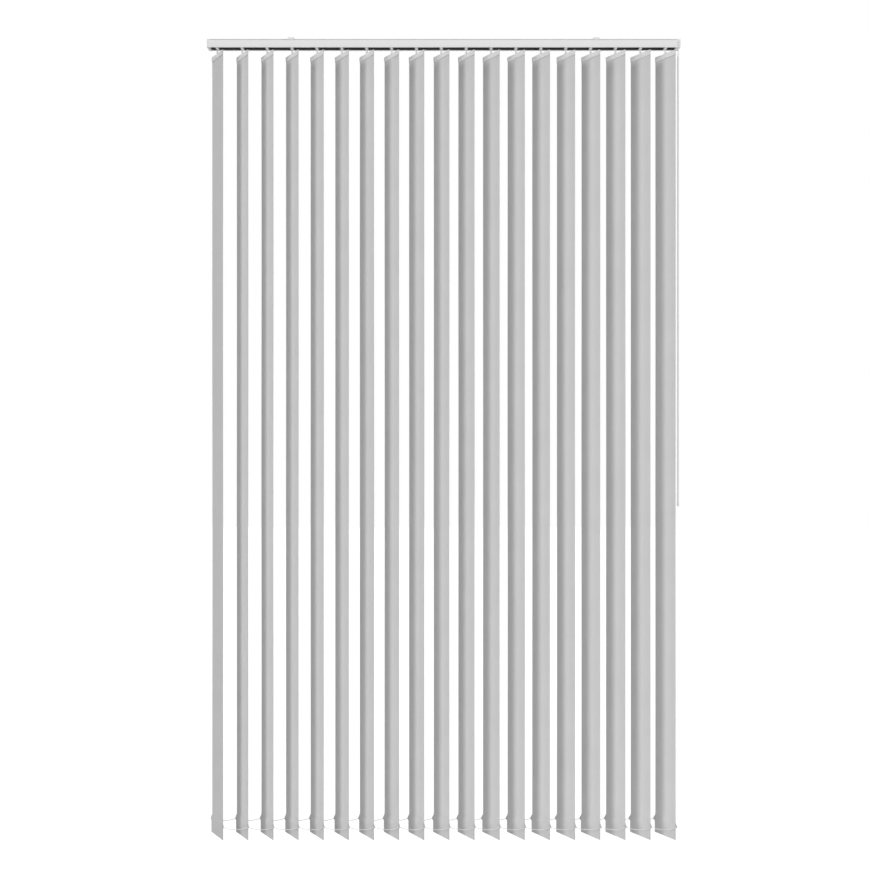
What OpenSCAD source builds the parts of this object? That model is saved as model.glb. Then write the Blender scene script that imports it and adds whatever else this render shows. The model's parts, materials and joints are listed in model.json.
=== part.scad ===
// Vertical blind: fabric slats on geared carriers in a slotted head rail.
// X runs along the rail, the room is on the -Y side, and Z is up. The origin is on the
// ceiling, midway between the two bracket screws. Sizes are millimetres.

/* [Blind] */
// Number of slats, each on its own carrier
slat_count = 19; // [4:1:22]
// Distance between slat axes with the blind drawn across
slat_pitch = 79.5; // [65:0.5:110]
// Distance between slat axes with the blind drawn aside
stack_pitch = 15; // [15:0.5:20]
// Turn of the slats away from fully open
slat_turn = 34; // [0:1:70]
// Gap between the rail and the top of a slat
slat_gap = 14.5; // [10:0.5:24]

/* [Slat fabric] */
// Width of a slat
slat_w = 89; // [80:1:127]
// Length of a slat from top edge to bottom edge
slat_drop = 2500; // [600:10:3200]
// Thickness of the fabric
fabric_t = 0.45; // [0.3:0.05:0.6]
// Height of the top hem that holds the hanger
hem_h = 16.5; // [15:0.5:24]
// Height of the bottom pocket that holds the weight
pocket_h = 50; // [46:1:70]
// Height of the slant where a hem closes onto the fabric
hem_slant = 3; // [2:0.5:4]
// Width of the notch in the top hem for the hook
notch_w = 9; // [8:0.5:14]

/* [Hanger, weight and clips] */
// Thickness of the hanger plate
hanger_t = 1.2; // [0.8:0.1:1.6]
// Play between the hanger plate and the slat's edges
hanger_inset = 4.5; // [2:0.5:10]
// Thickness of the bottom weight
weight_t = 2.4; // [1.4:0.1:2.5]
// Play between the weight and the slat's edges
weight_inset = 2.5; // [1:0.5:6]
// How far a chain clip stands out past the slat's edge
clip_reach = 7; // [5:0.5:10]
// Height of the clip tips above the bottom of the slat
clip_z = 42; // [38:1:44]
// Length of a clip's barb above its tip
barb_h = 12; // [8:1:16]
// Radius of the upright tip that the chain hooks round
tip_r = 0.75; // [0.5:0.05:1]

/* [Bottom chains] */
// Radius of the chain
chain_r = 1.2; // [0.8:0.1:1.6]
// Sag of the chain between two slats
chain_sag = 7.5; // [3:0.5:15]
// Gap between a chain end and its clip tip
chain_gap = 0.3; // [0.2:0.1:0.6]

/* [Head rail] */
// Depth of the rail at its widest
rail_d = 38; // [37:0.5:50]
// Height of the rail
rail_h = 26; // [26:0.5:32]
// Wall of the rail
rail_wall = 1.4; // [1:0.1:1.8]
// How far the front and back bow out
rail_bulge = 1; // [0.5:0.1:1.5]
// Radius of the rail's top edges
rail_corner = 2; // [1.8:0.1:2.4]
// Width of the slot under the rail
slot_w = 26; // [25:0.5:27]
// Length of rail beyond the first slat axis
stack_margin = 22; // [20:1:60]
// Length of rail beyond the last slat axis
control_margin = 33; // [32:1:80]
// Length of the left end cap
cap_l = 8; // [6:0.5:14]
// Length of the control housing without its cover
housing_l = 11; // [10:0.5:14]
// Thickness of the control housing's cover
cover_t = 1; // [0.8:0.1:3]
// Length of the tongues that hold the ends in the rail
tongue_l = 12; // [8:1:14]

/* [Carriers] */
// Length of a carrier along the rail
carrier_l = 14; // [13:0.5:14.5]
// Width of a carrier
carrier_w = 22; // [21:0.5:23]
// Length of the shoe under a carrier, which runs in the slot
shoe_l = 8; // [7:0.5:12]
// Radius of a carrier's wheels
wheel_r = 3.6; // [3.2:0.1:4]
// Width of a wheel
wheel_w = 2.4; // [1.8:0.1:2.6]
// Radius of the wheel axles
axle_r = 1.2; // [0.8:0.1:1.4]
// Radius of the slat stems
stem_r = 2.5; // [2.2:0.1:2.6]
// Teeth on each stem
stem_teeth = 16; // [12:1:20]
// Width of a spacer strip
strip_w = 2.4; // [1.8:0.1:2.6]
// Thickness of a spacer strip
strip_t = 0.5; // [0.3:0.1:0.6]

/* [Tilt drive] */
// Radius of the tilt rod
rod_r = 2; // [1.6:0.1:2.1]
// Distance of the tilt rod behind the stems
rod_y = 7; // [7:0.1:7.2]
// Radius of the worms over their threads
worm_r = 3; // [2.8:0.1:3.1]
// Teeth on the rod's end gear
rod_teeth = 20; // [16:1:24]
// Teeth on the wand's gear
wand_teeth = 12; // [8:1:14]
// Radius of the wand's shaft
shaft_r = 2; // [1.6:0.1:2]

/* [Wand] */
// Radius of the wand
wand_r = 3.2; // [2.5:0.1:5]
// Level of the wand's lower end below the ceiling
wand_end = 1493; // [400:1:2000]
// Level of the eye that the wand hangs from, below the rail
eye_drop = 9; // [8:0.5:16]
// Compass direction that the wand swings in, from +X towards +Y
wand_swing = -35; // [-60:1:0]
// Length of the grip at the wand's end
grip_l = 16; // [10:1:80]

/* [Ceiling brackets] */
// Width of a bracket
bracket_w = 20; // [16:1:40]
// Thickness of the bracket's sheet
bracket_t = 1.5; // [1:0.1:2]
// Gap between the ceiling and the rail
rail_drop = 5; // [4:0.5:10]
// Distance of each bracket from the end of the blind
bracket_inset = 267; // [60:1:270]
// Radius of the screw hole
screw_r = 2.25; // [1.75:0.05:3]

/* [Hidden] */
$fn = 48;
run_fit = 0.06;     // radial play of a turning shaft
loose_fit = 0.3;    // play of pieces that pass each other
push_fit = 0.2;     // play of a plug in its socket
gear_fit = 0.2;     // gap between the tips of two gears
seat_fit = 0.05;    // hairline between pieces that rest on each other

// levels
rail_top = -rail_drop;
rail_bot = rail_top - rail_h;
rail_mid = (rail_top + rail_bot) / 2;
lip_top = rail_bot + rail_wall;
roof = rail_top - rail_wall;
slat_top = rail_bot - slat_gap;
slat_bot = slat_top - slat_drop;

// places along the rail
rail_l = (slat_count - 1) * slat_pitch + stack_margin + control_margin;
blind_l = cap_l + rail_l + housing_l + cover_t;
rail_x0 = -blind_l / 2 + cap_l;
rail_x1 = rail_x0 + rail_l;
housing_x1 = rail_x1 + housing_l;
bracket_x = blind_l / 2 - bracket_inset;
function axis_x(i) = rail_x0 + stack_margin + (i - 1) * slat_pitch;

// rail section
bulge_r = rail_h * rail_h / 8 / rail_bulge + rail_bulge / 2;
function side_y(z, inset) = rail_d / 2 - bulge_r + sqrt(pow(bulge_r - inset, 2) - pow(z - rail_mid, 2));
groove_top = rail_top - rail_corner;
groove_h = 1;
groove_d = 0.8;
rib_t = 1.2;
groove_y = side_y(groove_top, 0) - groove_d;

// carrier and its drive
wheel_z = lip_top + loose_fit + wheel_r;
wheel_y0 = slot_w / 2 + loose_fit;
wheel_rib_z = wheel_z + wheel_r + loose_fit;
shoe_bot = rail_bot + push_fit;
shoe_w = slot_w - 2 * push_fit;
carrier_bot = lip_top + push_fit;
thread_h = 0.55;
worm_root_r = worm_r - thread_h;
worm_threads = 5;
worm_pitch = 1.6;
worm_inset = 0.5;
worm_l = carrier_l - 2 * worm_inset;
worm_cave_r = worm_r + loose_fit;
rod_drop = 8.1;
rod_z = roof - rod_drop;
strip_lift = 0.4;
chamber_roof = 0.6;
carrier_top = rod_z + worm_cave_r + chamber_roof;
strip_z = carrier_top + strip_lift;
strip_tail = 1;
strip_l = carrier_l / 2 + slat_pitch + strip_tail;
strip_lanes = ceil(strip_l / stack_pitch);
strip_lane_w = strip_w + 2 * loose_fit;
stem_gear_r = rod_y - worm_r - gear_fit;
stem_gear_t = 4.5;
stem_gear_z = rod_z - stem_gear_t / 2;
tooth_h = 0.8;

// slat, in its own frame: X along its width, -Y the side that the hems fold to
hem_inside = hanger_t + 2 * seat_fit;
pocket_inside = weight_t + 2 * seat_fit;
sheet_n = hem_inside / 2;
hem_r = hem_inside / 2 + fabric_t;
hanger_h = hem_h - hem_slant - hem_r;
notch_gap = 1;
hook_w = notch_w - 2 * notch_gap;
hook_jaw = 1.25;
hook_n = hanger_t / 2 + run_fit + hook_jaw;
hook_h = hem_h - hem_slant - notch_gap;
hook_neck = 4;
hook_pin_r = 1.6;
hook_pin_z = slat_top - hem_r - hanger_h / 2;
notch_h = hook_h + notch_gap / 2;
pocket_r = pocket_inside / 2 + fabric_t;
weight_h = pocket_h - hem_slant - pocket_r;
weight_w = slat_w - 2 * weight_inset;
tip_u = slat_w / 2 + clip_reach - tip_r;
tip_n = sheet_n - pocket_inside / 2;
tip_z = slat_bot + clip_z;
tip_l = 3;          // length of the upright tip
clip_t = 2 * tip_r;
clip_foot = 6;      // reach of a clip below its tip
clip_bite = 4;      // how far a clip runs into its weight
barb_w = 1.2;       // width of a barb at its top

// chains
chain_lean = chain_r * 0.6;  // how far a chain's slanted end leans past its centre
chain_chord = slat_pitch - 2 * (tip_r + chain_gap + chain_lean);
chain_bend = chain_chord * chain_chord / 8 / chain_sag + chain_sag / 2;
chain_half = asin(chain_chord / 2 / chain_bend);

// ends and wand
tongue_w = slot_w - 2 * push_fit;
tongue_drop = 6;
tongue_z = rod_z - tongue_drop;
wand_inset = 3.2;
wand_x = housing_x1 - wand_inset;
rod_gear_t = housing_l / 2;
rod_gear_r = (rod_y - gear_fit) * rod_teeth / (rod_teeth + wand_teeth);
wand_gear_r = rod_y - gear_fit - rod_gear_r;
wand_gear_t = 5;
wand_gear_z = rod_z - wand_gear_t / 2;
gear_cave_r = rod_gear_r + loose_fit;
eye_z = rail_bot - eye_drop;
eye_r = 3.2;
eye_t = 2.4;
eye_pin_r = 1.4;
cheek_t = 1.2;
cheek_r = 2.2;
ferrule_l = 4.5;
ferrule_gap = 1;
ferrule_roof = 1;
ferrule_wall = 0.6;
ferrule_z = eye_z - eye_r - ferrule_gap;
ferrule_r = wand_r + ferrule_wall;
grip_wall = 0.5;
grip_r = wand_r + grip_wall;

// bracket
arm_y = rail_d / 2 + push_fit / 2;
toe_h = groove_h - push_fit;
bend_r = 1;

function two_digits(i) = str(i < 10 ? "0" : "", i);
function carrier_name(i) = str("carrier_", two_digits(i));
function slat_name(i) = str("slat_", two_digits(i));

// Stands a drawing of the (Y, Z) section up and carries it along X.
module along_rail(x0, length) {
    translate([x0, 0, 0]) rotate([90, 0, 90]) linear_extrude(length) children();
}

// Round bar along X.
module bar_x(x0, length, y, z, r) {
    translate([x0, y, z]) rotate([0, 90, 0]) cylinder(h = length, r = r);
}

// Round bar along Y.
module bar_y(x, y0, length, z, r) {
    translate([x, y0, z]) rotate([-90, 0, 0]) cylinder(h = length, r = r);
}

// Flat gear with straight flanks.
module gear(teeth, outer_r, thickness) {
    step = 360 / teeth;
    root_r = outer_r - tooth_h;
    flank = [[-0.35, root_r], [-0.15, outer_r], [0.15, outer_r], [0.35, root_r]];
    linear_extrude(thickness) polygon([
        for (k = [0 : teeth - 1], f = flank)
            let (angle = (k + f[0]) * step) [f[1] * cos(angle), f[1] * sin(angle)]
    ]);
}

// The rail's outline, drawn inwards by inset: bowed sides and rounded top edges.
module rail_outline(inset) {
    corner_z = rail_top - rail_corner;
    corner_r = rail_corner - inset;
    corner_y = side_y(corner_z, 0) - rail_corner;
    intersection() {
        union() {
            translate([-rail_d, rail_bot + inset]) square([2 * rail_d, corner_z - rail_bot - inset]);
            translate([-corner_y, rail_bot + inset]) square([2 * corner_y, rail_h - 2 * inset]);
            for (side = [-1, 1]) translate([side * corner_y, corner_z]) circle(r = corner_r);
        }
        translate([rail_d / 2 - bulge_r, rail_mid]) circle(r = bulge_r - inset);
        translate([bulge_r - rail_d / 2, rail_mid]) circle(r = bulge_r - inset);
    }
}

// Hollow of the rail, less the ribs that back the bracket grooves and guide the wheels.
module rail_hollow() {
    difference() {
        intersection() {
            rail_outline(rail_wall);
            translate([-rail_d, lip_top]) square([2 * rail_d, rail_h]);
        }
        for (side = [-1, 1]) {
            translate([side * groove_y - rail_wall, groove_top - groove_h - rib_t])
                square([2 * rail_wall, groove_h + 2 * rib_t]);
            translate([side * rail_d / 2 - (rail_d / 2 - wheel_y0), wheel_rib_z])
                square([rail_d - 2 * wheel_y0, rib_t]);
        }
    }
}

// Extruded rail with a slot along its underside and a hook groove along each top edge.
module head_rail() {
    color("gainsboro") along_rail(rail_x0, rail_l) difference() {
        rail_outline(0);
        rail_hollow();
        translate([-slot_w / 2, rail_bot - 1]) square([slot_w, rail_wall + 2]);
        for (side = [-1, 1])
            translate([side * rail_d - (rail_d - groove_y), groove_top - groove_h])
                square([2 * (rail_d - groove_y), groove_h]);
    }
}

// Tongue that pushes into the end of the rail.
module tongue(x0, length) {
    top = roof - push_fit;
    translate([x0, -tongue_w / 2, tongue_z]) cube([length, tongue_w, top - tongue_z]);
}

// Moulded end cap with the rod's end bush.
module end_cap() {
    x0 = rail_x0 - cap_l;
    color("whitesmoke") difference() {
        union() {
            along_rail(x0, cap_l) rail_outline(0);
            tongue(rail_x0, tongue_l);
        }
        bar_x(rail_x0 - cap_l / 2, cap_l / 2 + tongue_l + 1, rod_y, rod_z, rod_r + run_fit);
    }
}

// Moulded control housing: rod bearing, gear chamber, wand shaft bore and front recess.
module control_housing() {
    chamber_x = housing_x1 - rod_gear_t - loose_fit;
    recess = [5.4, 2.5, rail_h / 2];
    recess_inset = 2.4;
    color("whitesmoke") difference() {
        union() {
            along_rail(rail_x1, housing_l) rail_outline(0);
            tongue(rail_x1 - tongue_l, tongue_l);
        }
        bar_x(rail_x1 - tongue_l - 1, tongue_l + housing_l + 2, rod_y, rod_z, rod_r + run_fit);
        bar_x(chamber_x, housing_l, rod_y, rod_z, gear_cave_r);
        translate([wand_x, 0, wand_gear_z])
            cylinder(h = wand_gear_t + loose_fit, r = wand_gear_r + loose_fit);
        translate([wand_x, 0, rail_bot - 1]) cylinder(h = rail_h, r = shaft_r + run_fit);
        translate([housing_x1 - recess_inset - recess[0], -rail_d / 2 - 1, rail_bot + rail_wall])
            cube(recess + [0, 1, 0]);
    }
}

// Cover plate that closes the gear chamber.
module control_cover() {
    color("whitesmoke") along_rail(housing_x1, cover_t) rail_outline(0);
}

// Arch with rounded shoulders in the (Y, Z) section, open at its foot.
module arch(half_w, top, foot, shoulder_r) {
    translate([-half_w, foot]) square([2 * half_w, top - shoulder_r - foot]);
    translate([shoulder_r - half_w, foot]) square([2 * (half_w - shoulder_r), top - foot]);
    for (side = [-1, 1])
        translate([side * (half_w - shoulder_r), top - shoulder_r]) circle(r = shoulder_r);
}

// Spring clip under the ceiling: a bent plate with two arms that toe into the rail's grooves.
module bracket(x) {
    arm_h = groove_h - groove_top;
    toe_y = groove_y + push_fit;
    out_y = arm_y + bracket_t;
    toe_l = arm_y + bracket_t / 2 - toe_y;
    color("silver") difference() {
        along_rail(x - bracket_w / 2, bracket_w) {
            difference() {
                arch(out_y, 0, -arm_h, bend_r + bracket_t);
                arch(arm_y, -bracket_t, -2 * arm_h, bend_r);
            }
            for (y0 = [toe_y, -toe_y - toe_l])
                translate([y0, groove_top - toe_h]) square([toe_l, toe_h]);
        }
        translate([x, 0, -2 * bracket_t]) cylinder(h = 3 * bracket_t, r = screw_r);
    }
}

module bracket_left() bracket(-bracket_x);

module bracket_right() bracket(bracket_x);

// Tilt rod with three drive grooves, from the cap's bush to the end gear.
module tilt_rod() {
    x0 = rail_x0 - cap_l / 2 + loose_fit;
    groove = 0.8;
    color("silver") translate([x0, rod_y, rod_z]) rotate([90, 0, 90])
        linear_extrude(housing_x1 - loose_fit - x0) difference() {
            circle(r = rod_r);
            for (angle = [30, 150, 270])
                rotate(angle) translate([rod_r - groove / 2, -groove / 2]) square([groove, groove]);
        }
}

// Gear fixed on the rod's end.
module rod_gear() {
    x0 = housing_x1 - loose_fit / 2 - rod_gear_t;
    color("dimgray") translate([x0, rod_y, rod_z]) rotate([90, 0, 90])
        difference() {
            gear(rod_teeth, rod_gear_r, rod_gear_t);
            translate([0, 0, -1]) cylinder(h = rod_gear_t + 2, r = rod_r);
        }
}

// Threads of the worm, as rings on its outline.
function worm_outline() = concat(
    [[rod_r + run_fit, -worm_l / 2], [worm_root_r, -worm_l / 2]],
    [for (k = [0 : worm_threads - 1], t = [[0, 0.1], [1, 0.3], [1, 0.6], [0, 0.8]])
        [worm_root_r + t[0] * thread_h, (k - worm_threads / 2 + t[1]) * worm_pitch]],
    [[worm_root_r, worm_l / 2], [rod_r + run_fit, worm_l / 2]]
);

// Worm that rides on the tilt rod inside a carrier.
module worm(x) {
    color("white") translate([x, rod_y, rod_z]) rotate([0, 90, 0])
        rotate_extrude() polygon(worm_outline());
}

// Moulded carrier body: wheel axles, stem bore, gear chamber and worm chamber.
module carrier_body(x) {
    axle_end = wheel_y0 + wheel_w + loose_fit;
    color("dimgray") difference() {
        union() {
            translate([x - carrier_l / 2, -carrier_w / 2, carrier_bot])
                cube([carrier_l, carrier_w, carrier_top - carrier_bot]);
            bar_y(x, -axle_end, 2 * axle_end, wheel_z, axle_r);
        }
        translate([x, 0, carrier_bot - 1]) cylinder(h = rail_h, r = stem_r + run_fit);
        translate([x, 0, stem_gear_z]) cylinder(h = rail_h, r = stem_gear_r + loose_fit);
        bar_x(x - carrier_l, 2 * carrier_l, rod_y, rod_z, worm_cave_r);
    }
}

// Shoe under the carrier that keeps it straight in the rail's slot.
module shoe(x) {
    color("white") difference() {
        translate([x - shoe_l / 2, -shoe_w / 2, shoe_bot])
            cube([shoe_l, shoe_w, carrier_bot - seat_fit - shoe_bot]);
        translate([x, 0, shoe_bot - 1]) cylinder(h = rail_wall + 2, r = stem_r + run_fit);
    }
}

// Wheel on its axle.
module wheel(x, side) {
    y0 = side > 0 ? wheel_y0 : -wheel_y0 - wheel_w;
    color("white") difference() {
        bar_y(x, y0, wheel_w, wheel_z, wheel_r);
        bar_y(x, y0 - 1, wheel_w + 2, wheel_z, axle_r + run_fit);
    }
}

// Where a carrier's spacer strip starts: neighbouring strips lie in lanes side by side.
function strip_x(i) = axis_x(i) - carrier_l / 2;
function strip_y(i) = (i % strip_lanes - (strip_lanes - 1) / 2) * strip_lane_w - strip_w / 2;

// Post beside the gear chamber that a carrier's spacer strip sits on.
module strip_post(i) {
    root = 0.3;
    post_l = carrier_l / 2 - stem_gear_r - 2 * loose_fit;
    color("dimgray") translate([strip_x(i), strip_y(i), carrier_top - root])
        cube([post_l, strip_w, root + strip_lift - seat_fit]);
}

// Spacer strip that draws the next carrier along, with its end turned up.
module spacer(i) {
    color("silver") translate([strip_x(i), strip_y(i), strip_z]) {
        cube([strip_l, strip_w, strip_t]);
        translate([strip_l - strip_t, 0, 0]) cube([strip_t, strip_w, 3 * strip_t]);
    }
}

// One carrier with its shoe, wheels, worm and the spacer to the next carrier.
module carrier(i) {
    x = axis_x(i);
    carrier_body(x);
    shoe(x);
    worm(x);
    wheel(x, -1);
    wheel(x, 1);
    if (i < slat_count) {
        strip_post(i);
        spacer(i);
    }
}

// Hem seen from the slat's edge: a round fold, a front layer and a slant back onto the sheet.
module hem_outline(inside, height) {
    outer = inside / 2 + fabric_t;
    slant_top = outer + hem_slant - height;
    translate([sheet_n - inside / 2, -outer]) {
        difference() {
            circle(r = outer);
            circle(r = inside / 2);
            translate([-2 * outer, -2 * outer]) square([4 * outer, 2 * outer]);
        }
        translate([-outer, slant_top]) square([fabric_t, -slant_top]);
        polygon([
            [-outer, slant_top], [-inside / 2, slant_top],
            [inside / 2, outer - height + fabric_t], [inside / 2, outer - height]
        ]);
    }
}

// Fabric of one slat with its folded hem and pocket, notched for the hook.
module fabric() {
    color("lightgray") difference() {
        translate([-slat_w / 2, 0, slat_top]) rotate([90, 0, 90]) linear_extrude(slat_w) {
            hem_outline(hem_inside, hem_h);
            translate([sheet_n, pocket_r - slat_drop]) square([fabric_t, slat_drop - pocket_r - hem_r]);
            translate([0, -slat_drop]) mirror([0, 1]) hem_outline(pocket_inside, pocket_h);
        }
        translate([-notch_w / 2, -2 * hem_r, slat_top - notch_h]) cube([notch_w, 4 * hem_r, notch_h + 1]);
    }
}

// Hanger plate in the top hem, with the hole that the hook's pin passes through.
module hanger() {
    hanger_w = slat_w - 2 * hanger_inset;
    color("white") difference() {
        translate([-hanger_w / 2, -hanger_t / 2, slat_top - hem_r - hanger_h])
            cube([hanger_w, hanger_t, hanger_h]);
        bar_y(0, -hanger_t, 2 * hanger_t, hook_pin_z, hook_pin_r + run_fit);
    }
}

// Stem with its gear and the forked hook that grips the hanger.
module stem() {
    hook_top = slat_top + hook_neck;
    color("white") {
        translate([0, 0, stem_gear_z]) gear(stem_teeth, stem_gear_r, stem_gear_t);
        translate([0, 0, hook_top]) cylinder(h = stem_gear_z - hook_top, r = stem_r);
        difference() {
            translate([-hook_w / 2, -hook_n, slat_top - hook_h])
                cube([hook_w, 2 * hook_n, hook_h + hook_neck]);
            translate([-hook_w, -hanger_t / 2 - run_fit, slat_top - 2 * hook_h])
                cube([2 * hook_w, hanger_t + 2 * run_fit, 2 * hook_h - hem_r + run_fit]);
        }
        bar_y(0, -hook_n, 2 * hook_n, hook_pin_z, hook_pin_r);
    }
}

// Outline of the barbed clip at the weight's right end.
module clip_outline() {
    start = weight_w / 2 - clip_bite;
    root = slat_w / 2 + push_fit;
    foot_z = clip_z - clip_foot;
    barb_z = clip_z + barb_h;
    head_z = pocket_r + weight_h - push_fit;
    polygon([
        [start, foot_z], [root, foot_z],
        [tip_u, clip_z - tip_l / 2], [tip_u, clip_z + tip_l / 2],
        [root + barb_w, barb_z], [root, barb_z], [root, head_z], [start, head_z]
    ]);
}

// Weight in the bottom pocket with a chain clip at each end.
module weight() {
    color("gainsboro") {
        translate([-weight_w / 2, tip_n - weight_t / 2, slat_bot + pocket_r])
            cube([weight_w, weight_t, weight_h]);
        translate([0, tip_n + clip_t / 2, slat_bot]) rotate([90, 0, 0]) linear_extrude(clip_t) {
            clip_outline();
            mirror([1, 0]) clip_outline();
        }
        for (side = [-1, 1])
            translate([side * tip_u, tip_n, tip_z - tip_l / 2]) cylinder(h = tip_l, r = tip_r);
    }
}

// One slat hung at its axis and turned.
module slat(i) {
    translate([axis_x(i), 0, 0]) rotate([0, 0, slat_turn - 90]) {
        stem();
        hanger();
        fabric();
        weight();
    }
}

// Chain through the clip tips on one edge of the slats, as a sagging span per pair.
module chain(side) {
    turn = slat_turn - 90;
    x = side * tip_u * cos(turn) - tip_n * sin(turn);
    y = side * tip_u * sin(turn) + tip_n * cos(turn);
    color("white") for (i = [1 : slat_count - 1])
        translate([axis_x(i) + x + slat_pitch / 2, y, tip_z + chain_bend - chain_sag])
            rotate([90, 0, 0]) rotate([0, 0, 270 - chain_half])
                rotate_extrude(angle = 2 * chain_half)
                    translate([chain_bend, 0]) circle(r = chain_r, $fn = 24);
}

module front_chain() chain(1);

module back_chain() chain(-1);

// Shaft with the wand's gear on top and the eye that the wand hangs from.
module wand_stem() {
    root = 0.5;
    shaft_z = eye_z + eye_r - root;
    color("white") translate([wand_x, 0, 0]) rotate([0, 0, wand_swing]) {
        translate([0, 0, wand_gear_z]) gear(wand_teeth, wand_gear_r, wand_gear_t);
        translate([0, 0, shaft_z]) cylinder(h = wand_gear_z - shaft_z, r = shaft_r);
        difference() {
            bar_y(0, -eye_t / 2, eye_t, eye_z, eye_r);
            bar_y(0, -eye_t, 2 * eye_t, eye_z, eye_pin_r + run_fit);
        }
    }
}

// Loop at the wand's top: a pin through the eye, two cheeks and a ferrule for the rod.
module wand_hook() {
    cheek_y = eye_t / 2 + push_fit;
    color("white") translate([wand_x, 0, 0]) rotate([0, 0, wand_swing]) {
        bar_y(0, -cheek_y - cheek_t, 2 * (cheek_y + cheek_t), eye_z, eye_pin_r);
        for (y0 = [-cheek_y - cheek_t, cheek_y]) {
            bar_y(0, y0, cheek_t, eye_z, cheek_r);
            translate([-cheek_r, y0, ferrule_z - ferrule_roof])
                cube([2 * cheek_r, cheek_t, eye_z - ferrule_z + ferrule_roof]);
        }
        difference() {
            translate([0, 0, ferrule_z - ferrule_l]) cylinder(h = ferrule_l, r = ferrule_r);
            translate([0, 0, ferrule_z - ferrule_l - ferrule_roof])
                cylinder(h = ferrule_l, r = wand_r + run_fit);
        }
    }
}

// Round wand between the ferrule and the grip.
module wand_rod() {
    top = ferrule_z - ferrule_roof;
    foot = grip_l / 2 - wand_end;
    color("white") translate([wand_x, 0, foot]) cylinder(h = top - foot, r = wand_r);
}

// Grip with a rounded foot, pushed onto the wand.
module wand_grip() {
    color("white") translate([wand_x, 0, -wand_end]) difference() {
        union() {
            translate([0, 0, grip_r]) cylinder(h = grip_l - grip_r, r = grip_r);
            translate([0, 0, grip_r]) sphere(r = grip_r);
        }
        translate([0, 0, grip_l / 2]) cylinder(h = grip_l, r = wand_r + run_fit);
    }
}

head_rail();
end_cap();
control_housing();
control_cover();
bracket_left();
bracket_right();
tilt_rod();
rod_gear();
wand_stem();
wand_hook();
wand_rod();
wand_grip();
front_chain();
back_chain();
for (i = [1 : slat_count]) {
    carrier(i);
    slat(i);
}
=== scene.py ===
"""Looks of a vertical blind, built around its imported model.

Metres throughout, in the model's own frame: X along the rail, -Y into the room, Z up, and the
origin on the ceiling. A slat has a frame of its own: u across its width, n through it with the
hems folded to -n, and z up. Its stem is the line u = n = 0.
"""

import json
import math

import bmesh
import bpy
import numpy as np
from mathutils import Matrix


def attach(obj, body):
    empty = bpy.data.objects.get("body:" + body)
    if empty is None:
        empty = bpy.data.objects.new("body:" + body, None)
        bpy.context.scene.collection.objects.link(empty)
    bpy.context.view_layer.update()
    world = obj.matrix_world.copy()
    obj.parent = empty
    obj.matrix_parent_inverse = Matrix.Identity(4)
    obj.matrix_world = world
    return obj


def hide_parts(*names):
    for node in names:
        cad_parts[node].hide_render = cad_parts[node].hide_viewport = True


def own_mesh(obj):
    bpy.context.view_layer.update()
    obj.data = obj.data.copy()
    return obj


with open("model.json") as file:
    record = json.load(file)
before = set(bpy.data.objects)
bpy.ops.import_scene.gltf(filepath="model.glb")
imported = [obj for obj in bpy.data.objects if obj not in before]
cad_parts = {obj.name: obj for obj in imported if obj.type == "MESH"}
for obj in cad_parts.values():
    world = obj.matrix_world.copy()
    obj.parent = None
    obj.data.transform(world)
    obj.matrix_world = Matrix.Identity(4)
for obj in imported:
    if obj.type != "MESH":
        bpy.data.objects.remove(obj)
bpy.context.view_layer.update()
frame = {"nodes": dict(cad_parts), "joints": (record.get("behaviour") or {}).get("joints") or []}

MM = 0.001

# slat
SLAT_COUNT = 19
SLAT_PITCH = 79.5 * MM
SLAT_TURN = math.radians(34 - 90)
SLAT_W = 89 * MM
SLAT_TOP = -45.5 * MM
SLAT_BOT = -2545.5 * MM
CLOTH_T = 0.45 * MM
HEM_H = 16.5 * MM
HEM_INSIDE = 1.3 * MM
POCKET_H = 50 * MM
POCKET_INSIDE = 2.5 * MM
WELD_H = 1 * MM
SLANT_H = 2 * MM
POCKET_SLANT_H = 14 * MM
NOTCH_W = 9 * MM
NOTCH_H = 13 * MM
SHEET_N = HEM_INSIDE / 2 + CLOTH_T / 2
HEM_FOOT = SLAT_TOP - HEM_H
POCKET_TOP = SLAT_BOT + POCKET_H - SLANT_H + POCKET_SLANT_H

# points of a slat's cloth: along the flap, slant, front and fold of a hem, down the sheet,
# and across half the width inside the strip along the edge
FLAP_POINTS = 3
SLANT_POINTS = 9
FRONT_POINTS = 8
ARC_POINTS = 11
SHEET_POINTS = 52
HALF_POINTS = 6
EDGE_STRIP = 1 * MM

# least and most of a slat's bow in mm, its ripple in mm, the ripple's phase and its twist in mm
BOW_LEAST = (-0.5, 0.1, 0, -0.4)
BOW_MOST = (0.9, 0.35, 6.28, 0.4)
RIPPLE_HALVES = 3

# hanger, hook and stem
HANGER_W = 80 * MM
HANGER_H = 12.4 * MM
HANGER_T = 1.2 * MM
HOOK_W = 7 * MM
HOOK_N = 1.91 * MM
HOOK_H = 12.5 * MM
HOOK_NECK = 4 * MM
HOOK_BEVEL = 0.25 * MM
JAW_N = 0.66 * MM
STEM_R = 2.5 * MM
COLLAR_W = 0.9 * MM
COLLAR_H = 0.3 * MM
COLLAR_SUNK = 0.2 * MM
GEAR_Z = -16.75 * MM
GEAR_T = 4.5 * MM
GEAR_R = 3.8 * MM
GEAR_TEETH = 16
TOOTH_H = 0.8 * MM
TOOTH_ROOT = 0.35
TOOTH_TIP = 0.15

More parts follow.
